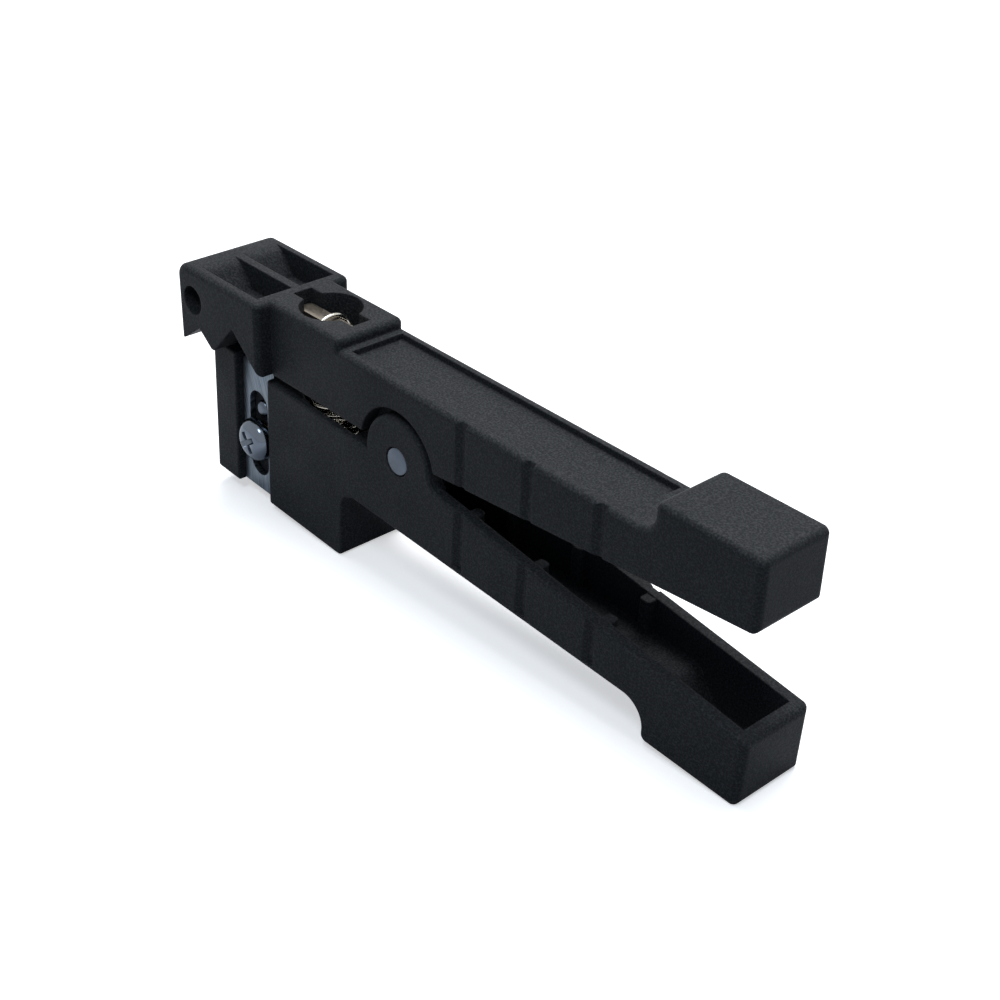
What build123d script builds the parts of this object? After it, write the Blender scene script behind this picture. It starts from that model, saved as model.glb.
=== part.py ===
from build123d import *
from math import atan2, cos, degrees, radians, sin, tan
import os

# Coaxial cable stripper, clothes-peg action: two moulded nylon levers turn on one pin,
# and a tension spring pulls the jaws shut on the cable. Two slotted blades stand in the
# lower jaw, each set to its own cutting depth and held by a pan head screw.
# Sizes of a lever run from the pivot: x along the lever, jaws negative, and z across it.

# Widths
jaw_half_width = 9.75
lever_half_width = 6.8
lever_wall = 2.0
edge_radius = 1.1
rim_radius = 0.5
corner_radius = 1.2
edge_match = 0.01

# Upper lever
nose_reach = 56.65
jaw_length = 23.6
step_length = 18.3
top_height = 15.5
nose_radius = 2.5
step_drop = 1.8
step_underside = 1.65
upper_grip_reach = 73.35
upper_end_length = 19.1
upper_end_rise = 5.3
upper_end_underside = 7.45
cove_radius = 3.0
taper_start = 8.4

# Vees of the upper jaw, from the nose
lip_width = 1.1
lip_height = 1.2
small_vee_offset = 6.1
small_vee_depth = 3.6
tooth_offset = 9.55
tooth_width = 0.8
tooth_height = 2.2
cable_vee_offset = 16.3
cable_vee_depth = 6.3
vee_end_height = 2.15

# Hang hole through the nose
hang_hole_diameter = 5.2
hang_hole_offset = 4.6
hang_hole_drop = 5.9

# Pockets moulded into the top of the jaw
pocket_offset = 6.0
pocket_depth = 4.6
pocket_ramp = 50.0
pocket_round = 3.0
pocket_rib = 1.6
pocket_wall = 1.85
pocket_end_wall = 2.1

# Recessed panel on the upper grip
panel_front_rim = 1.6
panel_back_rim = 5.8
panel_depth = 1.0
panel_rim = 1.7

# Finger grooves across the sides of both grips, gentle towards the pivot and steep outwards
groove_start = 16.3
groove_count = 3
groove_clear = 8.75
groove_width = 2.3
groove_slope = 1.1
groove_depth = 0.6
groove_foot = 0.8

# Pivot
pivot_diameter = 5.0
pivot_clearance = 0.06
pin_seat_gap = 0.02
pin_chamfer = 0.3
ear_radius = 7.7
ear_thickness = 2.6
ear_gap = 0.15
arch_gap = 1.4
hub_radius = 6.2
hub_room = 1.9
trough_gap = 1.4

# Lower lever, jaws closed at this angle to the upper lever
closed_angle = 2.13
bar_reach = 51.6
bar_width = 7.2
block_left = 35.1
block_right = 14.2
block_top = 1.2
block_depth = 26.35
grip_depth = 13.0
lower_end_length = 18.5
lower_end_depth = 18.8
lower_grip_reach = 74.4
lower_cove_radius = 4.2
block_cove_radius = 3.2
rim_start = 3.1
rim_start_depth = 0.55
rim_end_depth = 7.3
ear_foot_radius = 2.5
channel_edge_radius = 0.4
trough_bend_radius = 3.0
floor_thickness = 2.2
end_wall = 2.2

# Stub ribs inside both grips, one behind each groove
rib_width = 2.0
rib_reach = 1.8
rib_root = 1.0
rib_corner = 0.6
rib_depth_below_rim = 0.15

# Blade channel, blades and what holds them
web_half_thickness = 4.1
cable_rest_radius = 4.0
cable_rest_depth = 0.7
blade_thickness = 1.2
blade_gap = 0.08
blade_side_gap = 0.15
blade_tip_height = 0.5
blade_foot_gap = 0.25
blade_shoulder = 1.8
blade_bevel = 0.9
blade_bevel_height = 2.4
blade_slot_width = 5.2
blade_slot_top = 6.2
blade_slot_bottom = 23.1
screw_depth = 15.6
screw_thread = 4.0
screw_head_diameter = 8.0
screw_head_height = 2.7
screw_head_round = 1.9
screw_length = 4.4
screw_clearance = 0.05
insert_diameter = 5.6
insert_length = 3.5
driver_recess_width = 1.2
driver_recess_span = 4.8
driver_recess_depth = 1.6
driver_recess_turn = 25.0
guide_pin_diameter = 3.2
guide_pin_depth = 9.9
guide_pin_proud = 0.9
guide_pin_dome = 0.85

# Spring, its bore through both levers and its two anchor bars
spring_reach = 25.3
spring_bore = 10.7
mouth_width = 11.4
mouth_reach = 12.0
spring_diameter = 9.4
spring_wire = 0.8
spring_turns = 20
loop_lap = 35.0
hook_gap = 0.32
upper_bar_length = 15.3
lower_bar_length = 13.4
bar_slot_depth = 3.4
bar_thickness = 1.0
bar_breadth = 3.0
bar_side_gap = 0.35
bar_end_gap = 0.3
bar_radius = 0.3

# The tool lies on the corner of its block and on the end of its lower grip
lower_dip = degrees(atan2(block_depth - lower_end_depth, lower_grip_reach + block_right))
upper_dip = lower_dip - closed_angle


def across(dip, x, z):
    """Height above the pivot, in the lying pose, of a point of a lever."""
    return z * cos(radians(dip)) - x * sin(radians(dip))


def along(dip, x, z):
    """Distance beyond the pivot, in the lying pose, of a point of a lever."""
    return x * cos(radians(dip)) + z * sin(radians(dip))


pivot_height = corner_radius - across(lower_dip, -block_right - corner_radius, corner_radius - block_depth)
upper_end_top = top_height - step_drop + upper_end_rise
end_round = (upper_grip_reach - corner_radius, upper_end_top - corner_radius)
right_reach = corner_radius + along(upper_dip, *end_round)
left_reach = along(upper_dip, -nose_reach, lip_height)
pivot_x = -(right_reach + left_reach) / 2
pivot_point = (pivot_x, 0, pivot_height)


def side_plane(dip):
    """Plane of a lever's side view, through the pivot."""
    turn = radians(dip)
    return Plane(origin=pivot_point, x_dir=(cos(turn), 0, -sin(turn)), z_dir=(0, -1, 0))


def top_plane(dip):
    """Plane of a lever's top view, through the pivot."""
    turn = radians(dip)
    return Plane(origin=pivot_point, x_dir=(cos(turn), 0, -sin(turn)), z_dir=(sin(turn), 0, cos(turn)))


upper_side = side_plane(upper_dip)
upper_top = top_plane(upper_dip)
lower_side = side_plane(lower_dip)
lower_top = top_plane(lower_dip)

jaw_end = jaw_length - nose_reach
step_end = jaw_end + step_length
grip_top = top_height - step_drop
upper_end_left = upper_grip_reach - upper_end_length
lower_end_left = lower_grip_reach - lower_end_length
upper_end_corners = (
    (upper_grip_reach, upper_end_underside),
    (upper_grip_reach, upper_end_top),
    (upper_end_left, upper_end_top),
)
upper_taper = (upper_end_underside - step_underside) / (upper_grip_reach - taper_start)
upper_ceiling = grip_top - panel_depth - floor_thickness
upper_end_ceiling = upper_end_top - floor_thickness
groove_room = min(upper_end_left, lower_end_left) - groove_clear - groove_start
grooves = [groove_start + groove_room * i / (groove_count - 1) for i in range(groove_count)]
pocket_width = jaw_half_width - pocket_wall - pocket_rib / 2
pocket_left = pocket_offset - nose_reach
pocket_right = jaw_end - pocket_end_wall
pocket_run = pocket_depth / tan(radians(pocket_ramp))
round_run = pocket_round * tan(radians(pocket_ramp) / 2)
pocket_brow = (pocket_left - round_run, top_height)
pocket_bend = (
    pocket_left + round_run * cos(radians(pocket_ramp)),
    top_height - round_run * sin(radians(pocket_ramp)),
)
panel_left = step_end + panel_front_rim
panel_length = upper_end_left - panel_back_rim - panel_left
ear_inside = lever_half_width - ear_thickness
hub_half_width = ear_inside - ear_gap
trough_half_width = lever_half_width - lever_wall
trough_start = ear_radius + trough_gap
rib_length = rib_reach + rib_root
rib_middle = trough_half_width + (rib_root - rib_reach) / 2
bar_right = bar_width - bar_reach
channel_middle = (bar_right - block_left) / 2
rim_slope = (rim_end_depth - rim_start_depth) / (lower_grip_reach - rim_start)
trough_floor = floor_thickness - grip_depth
lower_end_floor = floor_thickness - lower_end_depth
upper_bar_height = top_height - bar_slot_depth
lower_bar_height = bar_slot_depth - block_depth
spring_offset = along(upper_dip, -spring_reach, upper_bar_height + bar_thickness)
dip_slope = tan(radians(lower_dip))
spring_column = spring_offset / cos(radians(lower_dip))
spring_foot = spring_column - (lower_bar_height - bar_thickness) * dip_slope
spring_mouth = spring_column + block_top * dip_slope

upper_trough_bends = (
    (upper_end_left, upper_ceiling),
    (upper_end_left + cove_radius, upper_end_ceiling),
)
lower_trough_bends = (
    (lower_end_left, trough_floor),
    (lower_end_left + lower_cove_radius, lower_end_floor),
)
lower_corners = (
    (-block_right, -block_depth),
    (lower_end_left, -lower_end_depth),
    (lower_grip_reach, -lower_end_depth),
    (lower_grip_reach, -rim_end_depth),
    (-bar_reach, -block_depth),
)
blade_half_width = (-block_left - bar_right) / 2 - blade_side_gap
blade_slot_length = blade_slot_bottom - blade_slot_top
lower_top_axis = Axis(pivot_point, lower_top.z_dir)


def upper_top_edge(spot):
    """True for an edge down the nose or along the top of the upper lever, short of its rounded end."""
    if abs(spot.X + nose_reach) < edge_match:
        return True
    return spot.Z > grip_top - edge_radius and spot.X < upper_grip_reach - 2 * corner_radius


def upper_grip_edge(spot):
    """True for an edge along the underside of the upper grip."""
    return spot.Z < upper_end_underside and taper_start < spot.X < upper_grip_reach - 2 * corner_radius


def jaw_back_edge(spot):
    """True for an upright edge at the back of the wide jaw."""
    return abs(spot.X - jaw_end) < edge_match and abs(spot.Y) > lever_half_width + edge_radius


def lower_outer_edge(spot):
    """True for an edge of the lower lever's sides, between its rounded ends."""
    return 2 * corner_radius - bar_reach < spot.X < lower_grip_reach - 2 * corner_radius


def channel_edge(spot):
    """True for an upright edge where a blade channel meets the side of the lower lever."""
    beside = min(abs(spot.X - bar_right), abs(spot.X + block_left))
    return beside < edge_match and abs(spot.Y) > lever_half_width - edge_match


def picked_edges(lever, plane, test):
    """The edges of a lever's flat sides that pass a test on their middle, seen from a plane."""
    sides = lever.faces().filter_by(Axis.Y)
    return sides.edges().filter_by(lambda edge: test(plane.to_local_coords(edge.center())))


def groove_faces():
    """The finger grooves of a grip seen from above, on both sides."""
    with BuildSketch() as faces:
        for groove in grooves:
            for side in (1, -1):
                deep = side * (lever_half_width - groove_depth)
                with BuildLine():
                    Polyline(
                        (groove - groove_width, side * lever_half_width),
                        (groove - groove_width + groove_slope, deep),
                        (groove, deep),
                        (groove, side * lever_half_width),
                        close=True,
                    )
                make_face()
    return faces.sketch


# Upper lever
with BuildPart() as upper_lever:
    with BuildSketch(upper_side):
        with BuildLine():
            Polyline(
                (-nose_reach, top_height),
                (-nose_reach, lip_height),
                (lip_width - nose_reach, lip_height),
                (small_vee_offset - nose_reach, lip_height + small_vee_depth),
                (tooth_offset - nose_reach, tooth_height),
                (tooth_offset + tooth_width - nose_reach, tooth_height),
                (cable_vee_offset - nose_reach, tooth_height + cable_vee_depth),
                (jaw_end, vee_end_height),
                (jaw_end, step_underside),
                (taper_start, step_underside),
                (upper_grip_reach, upper_end_underside),
                (upper_grip_reach, upper_end_top),
                (upper_end_left, upper_end_top),
                (upper_end_left, grip_top),
                (step_end, grip_top),
                (step_end, top_height),
                close=True,
            )
        make_face()
        fillet(vertices().sort_by_distance((-nose_reach, top_height))[0], nose_radius)
        fillet(vertices().sort_by_distance((upper_end_left, grip_top))[0], cove_radius)
        for corner in upper_end_corners:
            fillet(vertices().sort_by_distance(corner)[0], corner_radius)
    extrude(amount=jaw_half_width, both=True)
    with BuildSketch(upper_top):
        with Locations(((jaw_end - nose_reach) / 2, 0)):
            Rectangle(jaw_length, 2 * jaw_half_width)
        with Locations(((jaw_end + upper_grip_reach) / 2, 0)):
            Rectangle(upper_grip_reach - jaw_end, 2 * lever_half_width)
        fillet(vertices().group_by(Axis.X)[-1], corner_radius)
    extrude(amount=nose_reach, both=True, mode=Mode.INTERSECT)

    # Rounded edges along the top, under the grip and down the back of the jaw
    fillet(picked_edges(upper_lever, upper_top, jaw_back_edge), edge_radius)
    step_spot = upper_side.from_local_coords((step_end, top_height))
    step_edge = upper_lever.edges().filter_by(Axis.Y).sort_by_distance(step_spot)[:1]
    fillet(picked_edges(upper_lever, upper_top, upper_top_edge) + step_edge, edge_radius)
    fillet(picked_edges(upper_lever, upper_top, upper_grip_edge), rim_radius)

    # Rooms for the two ears, and the hub that turns between them
    for start in (hub_half_width, -lever_half_width - hub_half_width):
        with BuildSketch(upper_side.offset(start)):
            Circle(ear_radius + arch_gap)
        extrude(amount=lever_half_width, mode=Mode.SUBTRACT)
    with BuildSketch(upper_side):
        Circle(hub_radius)
    extrude(amount=hub_half_width, both=True)

    # Trough under the grip, with stub ribs on both walls
    with BuildSketch(upper_side):
        with BuildLine():
            Polyline(
                (trough_start, -hub_radius),
                (trough_start, upper_ceiling),
                (upper_end_left, upper_ceiling),
                (upper_end_left + cove_radius, upper_end_ceiling),
                (upper_grip_reach - end_wall, upper_end_ceiling),
                (upper_grip_reach - end_wall, -hub_radius),
                close=True,
            )
        make_face()
        for corner in upper_trough_bends:
            fillet(vertices().sort_by_distance(corner)[0], trough_bend_radius)
    extrude(amount=trough_half_width, both=True, mode=Mode.SUBTRACT)
    for groove in grooves:
        rib_foot = step_underside + upper_taper * (groove - taper_start) + rib_depth_below_rim
        with BuildSketch(upper_top.offset(rib_foot)):
            with Locations((groove, rib_middle), (groove, -rib_middle)):
                RectangleRounded(rib_width, rib_length, rib_corner)
        extrude(amount=upper_ceiling - rib_foot)

    # Finger grooves
    with BuildSketch(upper_top):
        add(groove_faces())
    extrude(amount=grip_top, mode=Mode.SUBTRACT)

    # Pockets, panel, hang hole
    for start in (pocket_rib / 2, -pocket_rib / 2 - pocket_width):
        with BuildSketch(upper_side.offset(start)):
            with BuildLine():
                TangentArc(pocket_brow, pocket_bend, tangent=(1, 0))
                Polyline(
                    pocket_bend,
                    (pocket_left + pocket_run, top_height - pocket_depth),
                    (pocket_right, top_height - pocket_depth),
                    (pocket_right, top_height),
                    pocket_brow,
                )
            make_face()
        extrude(amount=pocket_width, mode=Mode.SUBTRACT)
    with BuildSketch(upper_top.offset(grip_top)):
        with Locations((panel_left + panel_length / 2, 0)):
            Rectangle(panel_length, 2 * (lever_half_width - panel_rim))
    extrude(amount=-panel_depth, mode=Mode.SUBTRACT)
    with BuildSketch(upper_side):
        with Locations((hang_hole_offset - nose_reach, top_height - hang_hole_drop)):
            Circle(hang_hole_diameter / 2)
        Circle(pivot_diameter / 2 + pivot_clearance)
    extrude(amount=jaw_half_width, both=True, mode=Mode.SUBTRACT)

    # Spring bore, and the slot that its anchor bar lies in
    with BuildSketch(upper_top.offset(top_height)):
        with Locations((-spring_reach, 0)):
            Circle(spring_bore / 2)
    extrude(amount=-top_height, mode=Mode.SUBTRACT)
    with BuildSketch(upper_top.offset(top_height)):
        with Locations((-spring_reach, 0)):
            Rectangle(upper_bar_length + 2 * bar_end_gap, bar_breadth + 2 * bar_side_gap)
    extrude(amount=-bar_slot_depth, mode=Mode.SUBTRACT)
upper_lever.part.label = "upper_lever"

# Lower lever
with BuildPart() as lower_lever:
    with BuildSketch(lower_side):
        with BuildLine():
            Polyline(
                (-bar_reach, 0),
                (-bar_reach, -block_depth),
                (-block_right, -block_depth),
                (-block_right, -grip_depth),
                (lower_end_left, -grip_depth),
                (lower_end_left, -lower_end_depth),
                (lower_grip_reach, -lower_end_depth),
                (lower_grip_reach, -rim_end_depth),
                (rim_start, -rim_start_depth),
                (0, -block_top),
                (bar_right, -block_top),
                (bar_right, 0),
                close=True,
            )
        make_face()
        Circle(ear_radius)
        fillet(vertices().sort_by_distance((ear_radius, -rim_start_depth))[0], ear_foot_radius)
        fillet(vertices().sort_by_distance((-block_right, -grip_depth))[0], block_cove_radius)
        fillet(vertices().sort_by_distance((lower_end_left, -grip_depth))[0], lower_cove_radius)
        for corner in lower_corners:
            fillet(vertices().sort_by_distance(corner)[0], corner_radius)
    extrude(amount=lever_half_width, both=True)
    with BuildSketch(lower_top):
        with Locations(((lower_grip_reach - bar_reach) / 2, 0)):
            RectangleRounded(lower_grip_reach + bar_reach, 2 * lever_half_width, corner_radius)
    extrude(amount=bar_reach, both=True, mode=Mode.INTERSECT)
    fillet(picked_edges(lower_lever, lower_top, lower_outer_edge), rim_radius)

    # Blade channels on both sides of the web, and the cable rest on top of it
    for start in (web_half_thickness, -lever_half_width - web_half_thickness):
        with BuildSketch(lower_side.offset(start)):
            with Locations((channel_middle, -block_depth / 2)):
                Rectangle(-block_left - bar_right, 2 * block_depth)
        extrude(amount=lever_half_width, mode=Mode.SUBTRACT)
    fillet(picked_edges(lower_lever, lower_top, channel_edge), channel_edge_radius)
    with BuildSketch(lower_side):
        with Locations((channel_middle, cable_rest_radius - block_top - cable_rest_depth)):
            Circle(cable_rest_radius)
    extrude(amount=web_half_thickness, both=True, mode=Mode.SUBTRACT)

    # Room for the hub between the ears
    with BuildSketch(lower_side):
        Circle(hub_radius + hub_room)
        with Locations((trough_start / 2, trough_floor / 2)):
            Rectangle(trough_start, -trough_floor)
    extrude(amount=ear_inside, both=True, mode=Mode.SUBTRACT)

    # Trough in the grip, with stub ribs on both walls
    with BuildSketch(lower_side):
        with BuildLine():
            Polyline(
                (trough_start, hub_radius),
                (trough_start, trough_floor),
                (lower_end_left, trough_floor),
                (lower_end_left + lower_cove_radius, lower_end_floor),
                (lower_grip_reach - end_wall, lower_end_floor),
                (lower_grip_reach - end_wall, hub_radius),
                close=True,
            )
        make_face()
        for corner in lower_trough_bends:
            fillet(vertices().sort_by_distance(corner)[0], trough_bend_radius)
    extrude(amount=trough_half_width, both=True, mode=Mode.SUBTRACT)
    for groove in grooves:
        rib_top = -rim_start_depth - rim_slope * (groove - rim_start) - rib_depth_below_rim
        with BuildSketch(lower_top.offset(trough_floor)):
            with Locations((groove, rib_middle), (groove, -rib_middle)):
                RectangleRounded(rib_width, rib_length, rib_corner)
        extrude(amount=rib_top - trough_floor)

    # Finger grooves
    with BuildSketch(lower_top):
        add(groove_faces())
    extrude(amount=groove_foot - grip_depth, mode=Mode.SUBTRACT)

    # Spring bore, stretched because the spring stands upright in a lever that dips, and its open mouth
    with BuildSketch(lower_top):
        with Locations(((spring_foot + spring_mouth) / 2, 0)):
            SlotCenterToCenter(spring_foot - spring_mouth, spring_bore)
    extrude(amount=-block_depth, mode=Mode.SUBTRACT)
    with BuildSketch(lower_top):
        with Locations(((spring_mouth - mouth_reach) / 2, 0)):
            Rectangle(-mouth_reach - spring_mouth, mouth_width)
    extrude(amount=trough_floor, mode=Mode.SUBTRACT)
    with BuildSketch(lower_top.offset(-block_depth)):
        with Locations((spring_foot, 0)):
            Rectangle(lower_bar_length + 2 * bar_end_gap, bar_breadth + 2 * bar_side_gap)
    extrude(amount=bar_slot_depth, mode=Mode.SUBTRACT)

    # Holes for the pivot pin, the thread inserts and the guide pin
    with BuildSketch(lower_side):
        Circle(pivot_diameter / 2 + pin_seat_gap)
        with Locations((channel_middle, -screw_depth)):
            Circle(insert_diameter / 2 + pin_seat_gap)
        with Locations((channel_middle, -guide_pin_depth)):
            Circle(guide_pin_diameter / 2 + pin_seat_gap)
    extrude(amount=lever_half_width, both=True, mode=Mode.SUBTRACT)
lower_lever.part.label = "lower_lever"

# Pivot pin, flush with the ears
with BuildPart() as pivot_pin:
    with BuildSketch(lower_side):
        Circle(pivot_diameter / 2)
    extrude(amount=lever_half_width, both=True)
    chamfer(pivot_pin.edges().filter_by(GeomType.CIRCLE), pin_chamfer)
pivot_pin.part.label = "pivot_pin"

# Guide pin, standing out of both faces of the web inside the blade slots
with BuildPart() as guide_pin:
    with BuildSketch(lower_side):
        with Locations((channel_middle, -guide_pin_depth)):
            Circle(guide_pin_diameter / 2)
    extrude(amount=web_half_thickness + guide_pin_proud, both=True)
    fillet(guide_pin.edges().filter_by(GeomType.CIRCLE), guide_pin_dome)
guide_pin.part.label = "guide_pin"


def slotted_blade(side):
    """One slotted blade, side 1 near and -1 far, ground along its top edge."""
    face = lower_side.offset(side * (web_half_thickness + blade_gap))
    with BuildPart() as blade:
        with BuildSketch(face):
            with BuildLine():
                Polyline(
                    (channel_middle - blade_half_width, blade_foot_gap - block_depth),
                    (channel_middle + blade_half_width, blade_foot_gap - block_depth),
                    (channel_middle + blade_half_width, blade_tip_height - blade_shoulder),
                    (channel_middle + blade_half_width - blade_shoulder, blade_tip_height),
                    (channel_middle - blade_half_width + blade_shoulder, blade_tip_height),
                    (channel_middle - blade_half_width, blade_tip_height - blade_shoulder),
                    close=True,
                )
            make_face()
            with Locations((channel_middle, -(blade_slot_top + blade_slot_bottom) / 2)):
                SlotOverall(blade_slot_length, blade_slot_width, rotation=90, mode=Mode.SUBTRACT)
        extrude(amount=side * blade_thickness)
        outer = blade.faces().filter_by(Axis.Y).sort_by(Axis.Y)[0 if side == 1 else -1]
        chamfer(outer.edges().sort_by(lower_top_axis)[-1], blade_bevel_height, blade_bevel, reference=outer)
    return blade.part


def pan_head_screw(side):
    """Pan head screw with a cross recess, its head bearing on a blade."""
    seat = lower_side.offset(side * (web_half_thickness + blade_gap + blade_thickness))
    crown = seat.offset(side * screw_head_height)
    with BuildPart() as screw:
        with BuildSketch(seat):
            with Locations((channel_middle, -screw_depth)):
                Circle(screw_head_diameter / 2)
        extrude(amount=side * screw_head_height)
        rim = screw.faces().filter_by(Axis.Y).sort_by(Axis.Y)[0 if side == 1 else -1].edges()
        fillet(rim, screw_head_round)
        with BuildSketch(seat):
            with Locations((channel_middle, -screw_depth)):
                Circle(screw_thread / 2)
        extrude(amount=-side * screw_length)
        with BuildSketch(crown):
            for turn in (driver_recess_turn, driver_recess_turn + 90):
                with Locations(Location((channel_middle, -screw_depth), turn)):
                    Rectangle(driver_recess_span, driver_recess_width)
        extrude(amount=-side * driver_recess_depth, mode=Mode.SUBTRACT)
    return screw.part


def thread_insert(side):
    """Brass insert sunk into one face of the web, threaded for the screw."""
    with BuildPart() as insert:
        with BuildSketch(lower_side.offset(side * web_half_thickness)):
            with Locations((channel_middle, -screw_depth)):
                Circle(insert_diameter / 2)
                Circle(screw_thread / 2 + screw_clearance, mode=Mode.SUBTRACT)
        extrude(amount=-side * insert_length)
    return insert.part


def anchor_bar(plane, x, length):
    """Flat steel bar across the bore that holds one end of the spring."""
    with BuildPart() as bar:
        with BuildSketch(plane):
            with Locations((x, 0)):
                RectangleRounded(length, bar_breadth, bar_breadth / 2 - bar_radius)
        extrude(amount=bar_thickness)
    return bar.part


# Spring, close to upright: an open coil with a half loop over each anchor bar
spring_x = pivot_x + spring_offset
upper_bar_top = pivot_height + across(upper_dip, -spring_reach, upper_bar_height + bar_thickness)
lower_bar_bottom = pivot_height + across(lower_dip, spring_foot, lower_bar_height - bar_thickness)
coil_radius = (spring_diameter - spring_wire) / 2
loop_top = upper_bar_top + hook_gap + spring_wire / 2
loop_bottom = lower_bar_bottom - hook_gap - spring_wire / 2
coil_top = loop_top - coil_radius
coil_bottom = loop_bottom + coil_radius
coil_height = coil_top - coil_bottom
with BuildPart() as jaw_spring:
    with BuildLine(Plane((spring_x, 0, coil_bottom), x_dir=(0, 1, 0))) as coil_path:
        Helix(coil_height / spring_turns, coil_height, coil_radius)
    with BuildSketch(Plane(coil_path.line @ 0, z_dir=coil_path.line % 0)):
        Circle(spring_wire / 2)
    sweep(path=coil_path.line, is_frenet=True)
    for height, way in ((coil_top, 1), (coil_bottom, -1)):
        lap = radians(loop_lap)
        loop_start = (spring_x, coil_radius * cos(lap), height - way * coil_radius * sin(lap))
        with BuildSketch(Plane(loop_start, z_dir=(0, sin(lap), way * cos(lap)))):
            Circle(spring_wire / 2)
        revolve(axis=Axis((spring_x, 0, height), (1, 0, 0)), revolution_arc=way * (180 + loop_lap))
jaw_spring.part.label = "jaw_spring"

upper_spring_bar = anchor_bar(upper_top.offset(upper_bar_height), -spring_reach, upper_bar_length)
upper_spring_bar.label = "upper_spring_bar"
lower_bar_face = lower_top.offset(lower_bar_height - bar_thickness)
lower_spring_bar = anchor_bar(lower_bar_face, spring_foot, lower_bar_length)
lower_spring_bar.label = "lower_spring_bar"
near_blade = slotted_blade(1)
near_blade.label = "near_blade"
far_blade = slotted_blade(-1)
far_blade.label = "far_blade"
near_clamp_screw = pan_head_screw(1)
near_clamp_screw.label = "near_clamp_screw"
far_clamp_screw = pan_head_screw(-1)
far_clamp_screw.label = "far_clamp_screw"
near_thread_insert = thread_insert(1)
near_thread_insert.label = "near_thread_insert"
far_thread_insert = thread_insert(-1)
far_thread_insert.label = "far_thread_insert"

pieces = [
    upper_lever.part,
    lower_lever.part,
    pivot_pin.part,
    guide_pin.part,
    jaw_spring.part,
    upper_spring_bar,
    lower_spring_bar,
    near_blade,
    far_blade,
    near_clamp_screw,
    far_clamp_screw,
    near_thread_insert,
    far_thread_insert,
]
os.makedirs("parts", exist_ok=True)
for piece in pieces:
    export_step(piece, f"parts/{piece.label}.step")
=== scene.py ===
from math import cos, pi, radians, sin
import bpy
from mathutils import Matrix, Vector


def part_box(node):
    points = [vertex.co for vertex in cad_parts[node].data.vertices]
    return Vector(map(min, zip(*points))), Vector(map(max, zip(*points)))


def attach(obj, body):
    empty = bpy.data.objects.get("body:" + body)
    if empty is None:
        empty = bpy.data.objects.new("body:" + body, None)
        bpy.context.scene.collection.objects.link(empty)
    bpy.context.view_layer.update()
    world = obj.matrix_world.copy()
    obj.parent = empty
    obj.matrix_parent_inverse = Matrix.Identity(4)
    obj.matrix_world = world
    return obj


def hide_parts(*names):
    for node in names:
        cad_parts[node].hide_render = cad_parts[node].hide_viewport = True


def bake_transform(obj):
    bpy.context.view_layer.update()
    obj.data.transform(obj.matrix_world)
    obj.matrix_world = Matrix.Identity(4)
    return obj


# Coaxial cable stripper: two black nylon levers, sprung shut, with a slotted blade on each side.

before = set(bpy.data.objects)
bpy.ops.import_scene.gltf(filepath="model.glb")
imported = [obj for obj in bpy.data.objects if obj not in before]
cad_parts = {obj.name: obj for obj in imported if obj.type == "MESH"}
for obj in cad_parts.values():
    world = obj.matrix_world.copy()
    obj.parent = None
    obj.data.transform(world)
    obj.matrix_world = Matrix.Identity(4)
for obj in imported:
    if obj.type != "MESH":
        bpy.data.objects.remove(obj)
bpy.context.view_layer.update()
mm = 0.001
print("frame loaded")


# Small helpers

mixShare, mixFirst, mixSecond, mixResult = 0, 6, 7, 2  # a Mix node's sockets for colours, by number


def colour(code):  # an sRGB hex code as the linear value that a socket takes
    parts = [int(code[i:i + 2], 16) / 255 for i in (1, 3, 5)]
    return [c / 12.92 if c <= 0.04045 else ((c + 0.055) / 1.055) ** 2.4 for c in parts] + [1]


def feed(owner, node, sockets):  # each input gets its value, or a link when the value is a socket
    for name, value in sockets.items():
        if isinstance(value, bpy.types.NodeSocket):
            owner.node_tree.links.new(value, node.inputs[name])
        else:
            node.inputs[name].default_value = value


def addNode(owner, kind, sockets=None, **settings):
    node = owner.node_tree.nodes.new("ShaderNode" + kind)
    for name, value in settings.items():
        setattr(node, name, value)
    feed(owner, node, sockets or {})
    return node


def newMaterial(name):
    material = bpy.data.materials.new(name)
    material.use_nodes = True
    shader = material.node_tree.nodes["Principled BSDF"]
    place = addNode(material, "TexCoord").outputs["Object"]
    return material, shader, place


def deselectAll():
    for item in bpy.context.selected_objects:
        item.select_set(False)


def takeUp(piece):  # make this the only selected object, and the active one
    deselectAll()
    piece.select_set(True)
    bpy.context.view_layer.objects.active = piece


def addModifier(piece, kind, **settings):
    takeUp(piece)
    modifier = piece.modifiers.new(kind.title(), kind)
    for name, value in settings.items():
        setattr(modifier, name, value)
    bpy.ops.object.modifier_apply(modifier=modifier.name)


def dress(piece, material, nodeName):  # its finish, and the CAD node that it stands for
    piece.data.materials.clear()
    piece.data.materials.append(material)
    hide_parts(nodeName)


cadCopy = {
    "weld": 0.002 * mm,  # corners closer than this are joined
    "flat": 0.4,  # degrees: faces that meet flatter than this become one
}


def mergedCopy(nodeName, pieceName):  # the CAD shape again, with its corners joined and its flats whole
    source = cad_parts[nodeName]
    piece = bpy.data.objects.new(pieceName, source.data.copy())
    bpy.context.scene.collection.objects.link(piece)
    takeUp(piece)
    bpy.ops.object.mode_set(mode="EDIT")
    bpy.ops.mesh.select_all(action="SELECT")
    bpy.ops.mesh.remove_doubles(threshold=cadCopy["weld"])
    bpy.ops.mesh.dissolve_limited(angle_limit=radians(cadCopy["flat"]))
    bpy.ops.object.mode_set(mode="OBJECT")
    return piece


edgeEase = {
    "segments": 2,
    "smooth": 30,  # degrees: corners flatter than this are shaded smooth
}


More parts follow.
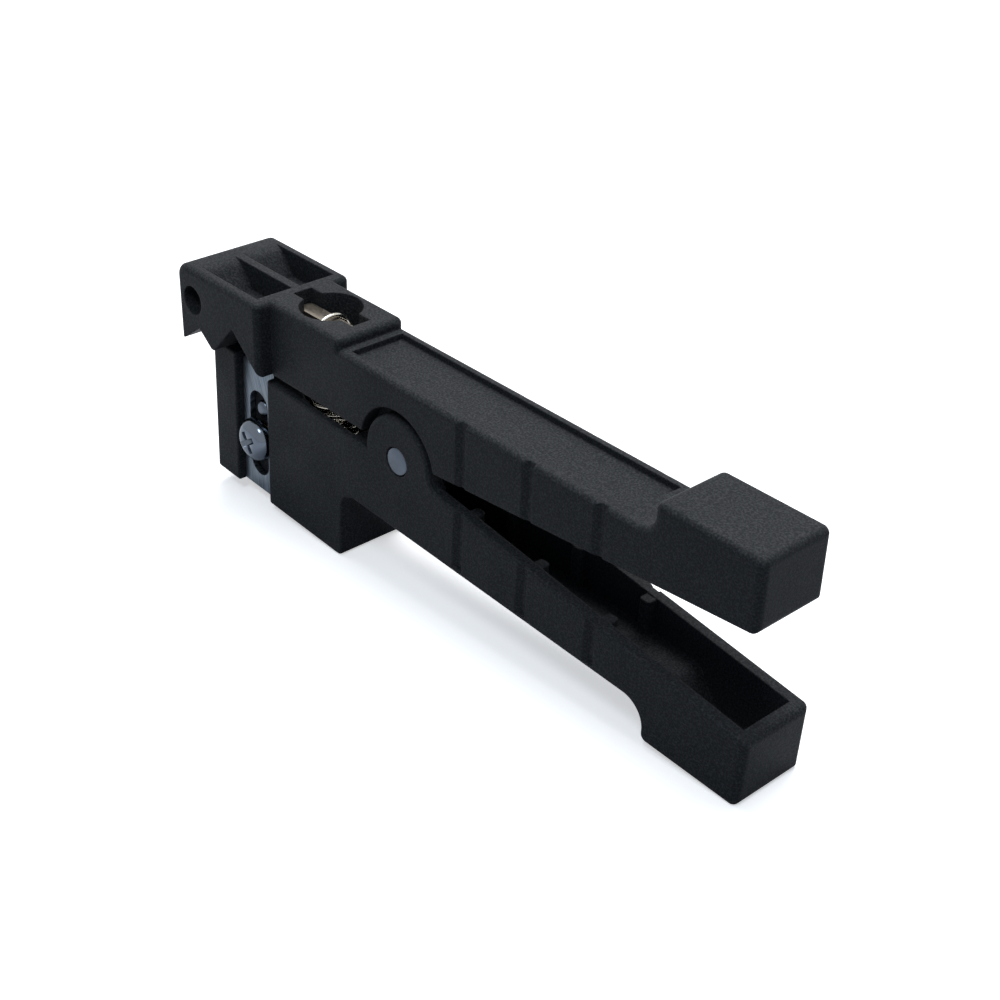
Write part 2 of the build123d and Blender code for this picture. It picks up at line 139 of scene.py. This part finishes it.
def eased(piece, width, corner):  # breaks the corners that are sharper than that many degrees
    addModifier(piece, "BEVEL", width=width, segments=edgeEase["segments"], limit_method="ANGLE",
                angle_limit=radians(corner), use_clamp_overlap=True, miter_outer="MITER_ARC")
    bpy.ops.object.shade_smooth_by_angle(angle=radians(edgeEase["smooth"]))


# Finishes

nylonLook = {  # speckle and fine grain are as coarse as they need to be to show in the render
    "colour": "#222426",
    "speckleColour": "#3e3f41",
    "speckle": {"Scale": 1 / (0.32 * mm), "Detail": 3, "Roughness": 0.6},
    "speckleBand": {"From Min": 0.42, "From Max": 0.68},
    "fine": {"Scale": 1 / (0.2 * mm), "Detail": 2, "Roughness": 0.5},
    "wave": {"Scale": 1 / (9 * mm), "Detail": 1, "Roughness": 0.4},
    "roughness": {"From Min": 0.12, "From Max": 0.4, "To Min": 0.42, "To Max": 0.58},
    "relief": {"Distance": 0.03 * mm, "Strength": 0.6},
    "shine": 0.05,
    "edge": 0.42 * mm,  # the moulding's edges catch the light over this width
    "edgeSamples": 4,
}


def makeNylon():  # glass-filled nylon from a spark-eroded mould: black, matt and finely speckled
    look = nylonLook
    material, shader, place = newMaterial("Black glass-filled nylon")
    speckle = addNode(material, "TexNoise", {"Vector": place, **look["speckle"]}).outputs["Fac"]
    fine = addNode(material, "TexNoise", {"Vector": place, **look["fine"]}).outputs["Fac"]
    wave = addNode(material, "TexNoise", {"Vector": place, **look["wave"]}).outputs["Fac"]
    share = addNode(material, "MapRange", {"Value": speckle, **look["speckleBand"]}).outputs["Result"]
    tint = addNode(material, "Mix", {
        mixShare: share,
        mixFirst: colour(look["colour"]),
        mixSecond: colour(look["speckleColour"]),
    }, data_type="RGBA").outputs[mixResult]
    uneven = addNode(material, "Math", {0: fine, 1: wave}, operation="MULTIPLY").outputs[0]
    rough = addNode(material, "MapRange", {"Value": uneven, **look["roughness"]}).outputs["Result"]
    softEdge = addNode(material, "Bevel", {"Radius": look["edge"]}, samples=look["edgeSamples"])
    bump = addNode(material, "Bump", {
        "Height": fine,
        "Normal": softEdge.outputs["Normal"],
        **look["relief"],
    }).outputs["Normal"]
    feed(material, shader, {
        "Base Color": tint,
        "Roughness": rough,
        "Specular IOR Level": look["shine"],
        "Normal": bump,
    })
    return material


metalGrain = {
    "cloud": {"Scale": 1 / (4 * mm), "Detail": 3, "Roughness": 0.55},  # from one colour to the other
    "fine": {"Detail": 2, "Roughness": 0.5},
    "band": {"From Min": 0.3, "From Max": 0.7},  # most of a noise lies in this band
    "strength": 0.5,
}
metalLooks = {
    "Hardened pin steel": {  # ground round and hardened: dark, with a clear shine
        "colours": ("#474f59", "#535b65"),
        "roughness": (0.16, 0.24),
        "grainSize": 0.6 * mm,
        "depth": 0.004 * mm,
    },
    "Bright spring wire": {  # drawn wire: pale and shiny
        "colours": ("#d6d3cb", "#bdb9b0"),
        "roughness": (0.14, 0.26),
        "grainSize": 0.3 * mm,
        "depth": 0.004 * mm,
    },
    "Oiled bar steel": {  # rolled bar under a film of oil: warm grey and dull
        "colours": ("#8b847b", "#777067"),
        "roughness": (0.34, 0.52),
        "grainSize": 0.4 * mm,
        "depth": 0.01 * mm,
    },
    "Nickel plate": {  # plated over a pressed head: bluish grey, with the sharpest shine
        "colours": ("#59616c", "#646c77"),
        "roughness": (0.12, 0.2),
        "grainSize": 0.8 * mm,
        "depth": 0.003 * mm,
    },
    "Turned brass": {  # turned on a lathe: yellow, with a soft shine
        "colours": ("#b58f4c", "#a27d3d"),
        "roughness": (0.24, 0.36),
        "grainSize": 0.6 * mm,
        "depth": 0.004 * mm,
    },
}


def finishMetal(material, shader, look, share, grain, strength):  # share mixes the colours
    first, second = look["colours"]
    smoothest, roughest = look["roughness"]
    tint = addNode(material, "Mix", {
        mixShare: share,
        mixFirst: colour(first),
        mixSecond: colour(second),
    }, data_type="RGBA").outputs[mixResult]
    rough = addNode(material, "MapRange", {
        "Value": grain,
        "To Min": smoothest,
        "To Max": roughest,
        **metalGrain["band"],
    }).outputs["Result"]
    relief = {"Height": grain, "Distance": look["depth"], "Strength": strength}
    bump = addNode(material, "Bump", relief).outputs["Normal"]
    feed(material, shader, {"Base Color": tint, "Metallic": 1.0, "Roughness": rough, "Normal": bump})


def makeMetal(name):
    look = metalLooks[name]
    material, shader, place = newMaterial(name)
    cloud = addNode(material, "TexNoise", {"Vector": place, **metalGrain["cloud"]}).outputs["Fac"]
    fine = {"Vector": place, "Scale": 1 / look["grainSize"], **metalGrain["fine"]}
    grain = addNode(material, "TexNoise", fine).outputs["Fac"]
    share = addNode(material, "MapRange", {"Value": cloud, **metalGrain["band"]}).outputs["Result"]
    finishMetal(material, shader, look, share, grain, metalGrain["strength"])
    return material


bladeLook = {
    "colours": ("#505962", "#79838d"),
    "roughness": (0.32, 0.48),
    "wheelCentre": (-112 * mm, 0.0, 6 * mm),  # the grinding marks are arcs about this point
    "markWidth": 0.26 * mm,  # as coarse as it needs to be to show
    "markLength": 9 * mm,
    "marks": {"Scale": 1, "Detail": 3},  # the place is already counted in marks
    "markBand": {"From Min": 0.35, "From Max": 0.65},
    "depth": 0.012 * mm,
    "strength": 0.45,
}


def makeBladeSteel():  # blade steel, surface ground so that the marks run up and down in slight arcs
    look = bladeLook
    material, shader, place = newMaterial("Ground blade steel")
    fromCentre = addNode(material, "VectorMath", {0: place, 1: look["wheelCentre"]}, operation="DISTANCE")
    height = addNode(material, "SeparateXYZ", {"Vector": place}).outputs["Z"]
    across = {0: fromCentre.outputs["Value"], 1: 1 / look["markWidth"]}
    down = {0: height, 1: 1 / look["markLength"]}
    markPlace = addNode(material, "CombineXYZ", {
        "X": addNode(material, "Math", across, operation="MULTIPLY").outputs[0],
        "Y": addNode(material, "Math", down, operation="MULTIPLY").outputs[0],
    }).outputs["Vector"]
    marks = addNode(material, "TexNoise", {"Vector": markPlace, **look["marks"]}).outputs["Fac"]
    share = addNode(material, "MapRange", {"Value": marks, **look["markBand"]}).outputs["Result"]
    finishMetal(material, shader, look, share, marks, look["strength"])
    return material


nylon = makeNylon()
bladeSteel = makeBladeSteel()
pinSteel = makeMetal("Hardened pin steel")
springWire = makeMetal("Bright spring wire")
barSteel = makeMetal("Oiled bar steel")
nickel = makeMetal("Nickel plate")
brass = makeMetal("Turned brass")
print("materials made")


# Levers: the moulded shapes as the CAD has them, in nylon

for nodeName in ("upper_lever", "lower_lever"):
    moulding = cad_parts[nodeName]
    moulding.material_slots[0].material = nylon
print("levers dressed")


# Blades, pins, bars and inserts: the CAD shapes with broken edges

brokenCorner = 32  # degrees: only corners sharper than this are broken
metalParts = {  # CAD node: visual name, body, finish, slot and the width of the broken edges
    "near_blade": ("nearBlade", "near_blade", bladeSteel, "blade_steel", 0.1 * mm),
    "far_blade": ("farBlade", "far_blade", bladeSteel, "blade_steel", 0.1 * mm),
    "pivot_pin": ("pivotPin", "lower_lever", pinSteel, "pin_steel", 0.06 * mm),
    "guide_pin": ("guideStud", "lower_lever", pinSteel, "pin_steel", 0.03 * mm),
    "upper_spring_bar": ("upperSpringBar", "upper_lever", barSteel, "bar_steel", 0.12 * mm),
    "lower_spring_bar": ("lowerSpringBar", "lower_lever", barSteel, "bar_steel", 0.12 * mm),
    "near_thread_insert": ("nearThreadInsert", "lower_lever", brass, "insert_brass", 0.05 * mm),
    "far_thread_insert": ("farThreadInsert", "lower_lever", brass, "insert_brass", 0.05 * mm),
}
for nodeName, (pieceName, body, finish, slotName, brokenEdge) in metalParts.items():
    part = mergedCopy(nodeName, pieceName)
    eased(part, brokenEdge, brokenCorner)
    dress(part, finish, nodeName)
    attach(part, body)
print("metal parts eased")


# Clamp screws: pan head with a tapered cross recess

bladeLean = 4.87  # degrees between the blades and upright
screwSize = {
    "headRadius": 4.0 * mm,
    "headHeight": 2.7 * mm,
    "headSides": 96,
    "crownRound": 2.35 * mm,
    "crownSegments": 12,
    "footRound": 0.25 * mm,
    "footSegments": 3,
    "shankRadius": 2.0 * mm,
    "recessSpan": 5.5 * mm,
    "recessWidth": 1.45 * mm,
    "recessDepth": 2.1 * mm,
    "recessTaper": 0.52,  # the floor of the recess is this share of its mouth
    "recessTurn": 25 + bladeLean,  # degrees, so 25 from the line of the blade
    "edge": 0.07 * mm,
    "corner": 34,  # degrees: only corners sharper than this are broken
}
faceMatch = {"level": 0.01 * mm, "middle": 0.1 * mm}  # how close the middle of a face has to be


def selectFaces(piece, test):  # in edit mode: only the faces whose middle passes the test
    bpy.ops.mesh.select_all(action="DESELECT")
    bpy.ops.object.mode_set(mode="OBJECT")
    for face in piece.data.polygons:
        face.select = test(face.center)
    bpy.ops.object.mode_set(mode="EDIT")
    bpy.ops.mesh.select_mode(type="FACE")


def placed(piece):  # the object's place and turn go into its mesh
    takeUp(piece)
    bpy.ops.object.transform_apply(location=True, rotation=True, scale=True)


def selectLevel(piece, level):  # the faces at that level, counted across the tool
    selectFaces(piece, lambda spot: abs(spot.y - level) < faceMatch["level"])


def clampScrew(nodeName, pieceName, side):  # side is 1 for the near screw and -1 for the far one
    size = screwSize
    low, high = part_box(nodeName)
    centre = (low + high) / 2
    crown = low.y if side > 0 else high.y
    seat = crown + side * size["headHeight"]
    tip = high.y if side > 0 else low.y
    deselectAll()
    bpy.ops.mesh.primitive_cylinder_add(
        vertices=size["headSides"], radius=size["headRadius"], depth=size["headHeight"],
        location=(centre.x, (crown + seat) / 2, centre.z), rotation=(pi / 2, 0, 0))
    head = bpy.context.active_object
    head.name = pieceName
    placed(head)
    bpy.ops.object.mode_set(mode="EDIT")
    selectLevel(head, crown)
    bpy.ops.mesh.bevel(offset=size["crownRound"], segments=size["crownSegments"],
                       affect="EDGES", clamp_overlap=False)
    selectLevel(head, seat)
    bpy.ops.mesh.bevel(offset=size["footRound"], segments=size["footSegments"],
                       affect="EDGES", clamp_overlap=False)
    middle = Vector((centre.x, seat, centre.z))
    selectFaces(head, lambda spot: (spot - middle).length < faceMatch["middle"])
    bpy.ops.mesh.inset(thickness=size["headRadius"] - size["footRound"] - size["shankRadius"])
    bpy.ops.mesh.extrude_region_move(TRANSFORM_OT_translate={"value": (0, tip - seat, 0)})
    bpy.ops.object.mode_set(mode="OBJECT")
    floor = crown + side * size["recessDepth"]
    for turn in (0, 90):  # the two arms of the cross
        deselectAll()
        bpy.ops.mesh.primitive_cube_add(size=1, location=(centre.x, crown, centre.z),
                                        rotation=(0, radians(turn - size["recessTurn"]), 0))
        arm = bpy.context.active_object
        arm.scale = (size["recessSpan"], 2 * size["recessDepth"], size["recessWidth"])
        placed(arm)
        bpy.ops.object.mode_set(mode="EDIT")
        selectLevel(arm, floor)
        bpy.ops.transform.resize(value=(size["recessTaper"],) * 3,
                                 center_override=(centre.x, floor, centre.z))
        bpy.ops.object.mode_set(mode="OBJECT")
        addModifier(head, "BOOLEAN", operation="DIFFERENCE", object=arm, solver="EXACT")
        bpy.data.objects.remove(arm)
    eased(head, size["edge"], size["corner"])
    return head


for nodeName, pieceName, body, side in (
    ("near_clamp_screw", "nearClampScrew", "near_screw", 1),
    ("far_clamp_screw", "farClampScrew", "far_screw", -1),
):
    screw = clampScrew(nodeName, pieceName, side)
    dress(screw, nickel, nodeName)
    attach(screw, body)
print("clamp screws made")


# Jaw spring: an open coil with a half loop over each bar

springSize = {
    "wire": 0.8 * mm,
    "diameter": 9.4 * mm,
    "turns": 20,
    "spotsPerTurn": 24,
    "bend": 45,  # degrees of the first and the last turn that lift into the loops
    "loopEnd": 180,  # degrees round a loop to its open end
    "loopStep": 15,
    "curveOrder": 4,
    "curveSteps": 3,
    "wireRoundness": 5,
    "smooth": 50,  # degrees: corners flatter than this are shaded smooth
    "held": 4 * mm,  # the length at each end that its lever holds
}


def springRoute():
    size = springSize
    low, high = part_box("jaw_spring")
    centre = (low + high) / 2
    radius = (size["diameter"] - size["wire"]) / 2
    topMiddle = high.z - size["wire"] / 2 - radius
    footMiddle = low.z + size["wire"] / 2 + radius
    rise = topMiddle - footMiddle
    loopDegrees = range(size["bend"], size["loopEnd"] + 1, size["loopStep"])
    loopTurns = [radians(degree) for degree in loopDegrees]
    spots = []
    for turn in reversed(loopTurns):  # foot loop
        spots.append((centre.x, radius * cos(turn), footMiddle - radius * sin(turn)))
    count = size["turns"] * size["spotsPerTurn"]
    skip = round(size["bend"] / 360 * size["spotsPerTurn"])
    for step in range(skip, count - skip + 1):
        turn = 2 * pi * step / size["spotsPerTurn"]
        height = footMiddle + rise * step / count
        spots.append((centre.x - radius * sin(turn), radius * cos(turn), height))
    for turn in loopTurns:  # top loop
        spots.append((centre.x, radius * cos(turn), topMiddle + radius * sin(turn)))
    return spots


def bentWire(pieceName, spots):
    size = springSize
    curve = bpy.data.curves.new(pieceName, "CURVE")
    curve.dimensions = "3D"
    curve.bevel_depth = size["wire"] / 2
    curve.bevel_resolution = size["wireRoundness"]
    curve.use_fill_caps = True
    spline = curve.splines.new("NURBS")
    spline.points.add(len(spots) - 1)
    for point, spot in zip(spline.points, spots):
        point.co = (*spot, 1)
    spline.order_u = size["curveOrder"]
    spline.use_endpoint_u = True
    spline.resolution_u = size["curveSteps"]
    piece = bpy.data.objects.new(pieceName, curve)
    bpy.context.scene.collection.objects.link(piece)
    takeUp(piece)
    bpy.ops.object.convert(target="MESH")
    piece = bpy.context.active_object
    bpy.ops.object.shade_smooth_by_angle(angle=radians(size["smooth"]))
    return piece


spring = bentWire("jawSpring", springRoute())
dress(spring, springWire, "jaw_spring")
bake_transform(spring)
print("spring wound")


# Floor, light and camera

floorLook = {
    "seen": "#fafafa",
    "bounced": "#4c5259",  # what it throws back on the tool
    "glow": {"From Min": 0.35, "From Max": 0.9, "To Min": 0.55, "To Max": 1},  # by metres from the tool
    "roughness": 0.8,
    "shine": 0.1,
    "side": 6,  # metres
}
worldLook = {"seen": (1, 1, 1, 1), "bounced": (0.15, 0.19, 0.25, 1)}  # linear: white, but dim on the tool


def seenRays(owner, rays):  # 1 for what is seen straight, in a shine or through glass, 0 for a soft bounce
    straight = {0: rays["Is Camera Ray"], 1: rays["Is Glossy Ray"]}
    either = addNode(owner, "Math", straight, operation="MAXIMUM").outputs[0]
    through = {0: either, 1: rays["Is Transmission Ray"]}
    return addNode(owner, "Math", through, operation="MAXIMUM").outputs[0]


def makeFloor():
    material, shader, place = newMaterial("Pale studio floor")
    rays = addNode(material, "LightPath").outputs
    tint = addNode(material, "Mix", {
        mixShare: seenRays(material, rays),
        mixFirst: colour(floorLook["bounced"]),
        mixSecond: colour(floorLook["seen"]),
    }, data_type="RGBA").outputs[mixResult]
    distance = addNode(material, "VectorMath", {0: place}, operation="LENGTH").outputs["Value"]
    glow = addNode(material, "MapRange", {"Value": distance, **floorLook["glow"]}).outputs["Result"]
    seenGlow = {0: rays["Is Camera Ray"], 1: glow}
    feed(material, shader, {
        "Base Color": tint,
        "Emission Color": colour(floorLook["seen"]),
        "Emission Strength": addNode(material, "Math", seenGlow, operation="MULTIPLY").outputs[0],
        "Roughness": floorLook["roughness"],
        "Specular IOR Level": floorLook["shine"],
    })
    deselectAll()
    bpy.ops.mesh.primitive_plane_add(size=floorLook["side"], location=(0, 0, 0))
    floor = bpy.context.active_object
    floor.name = "studioFloor"
    floor.data.materials.append(material)


def makeWorld():
    world = bpy.data.worlds.new("studio")
    bpy.context.scene.world = world
    world.use_nodes = True
    world.node_tree.nodes.clear()
    rays = addNode(world, "LightPath").outputs
    tint = addNode(world, "Mix", {
        mixShare: seenRays(world, rays),
        mixFirst: worldLook["bounced"],
        mixSecond: worldLook["seen"],
    }, data_type="RGBA").outputs[mixResult]
    sky = addNode(world, "Background", {"Color": tint}).outputs[0]
    addNode(world, "OutputWorld", {"Surface": sky})


lamps = {
    "keyLamp": {
        "place": (-0.12, 0.20, 0.90),
        "aim": (0, 0, 0.02),
        "width": 0.6,
        "watts": 8.6,
        "tint": (1, 1, 1),
    },
    "frontLamp": {
        "place": (0.26, -0.42, 0.82),
        "aim": (0, 0, 0.02),
        "width": 0.22,
        "watts": 2.0,
        "tint": (0.86, 0.94, 1),
    },
}


def makeLamps():
    for name, setting in lamps.items():
        data = bpy.data.lights.new(name, "AREA")
        data.shape = "SQUARE"
        data.size = setting["width"]
        data.energy = setting["watts"]
        data.color = setting["tint"]
        lamp = bpy.data.objects.new(name, data)
        bpy.context.scene.collection.objects.link(lamp)
        lamp.location = setting["place"]
        beam = Vector(setting["aim"]) - Vector(setting["place"])
        lamp.rotation_euler = beam.to_track_quat("-Z", "Y").to_euler()


cameraSetting = {
    "place": (178.280 * mm, -152.119 * mm, 153.584 * mm),
    "turn": (60.1524, 0.2249, 48.0884),
    "lens": 61.5135,
    "sensor": 36,
    "nearest": 0.01,  # metres
    "pixels": 1000,
}


def makeCamera():
    data = bpy.data.cameras.new("photoCamera")
    data.lens = cameraSetting["lens"]
    data.sensor_width = cameraSetting["sensor"]
    data.clip_start = cameraSetting["nearest"]
    camera = bpy.data.objects.new("photoCamera", data)
    camera.location = cameraSetting["place"]
    camera.rotation_euler = [radians(angle) for angle in cameraSetting["turn"]]
    bpy.context.scene.collection.objects.link(camera)
    bpy.context.scene.camera = camera


makeFloor()
makeWorld()
makeLamps()
makeCamera()
scene = bpy.context.scene
scene.render.resolution_x = cameraSetting["pixels"]
scene.render.resolution_y = cameraSetting["pixels"]
scene.view_settings.view_transform = "Standard"
print("studio set")
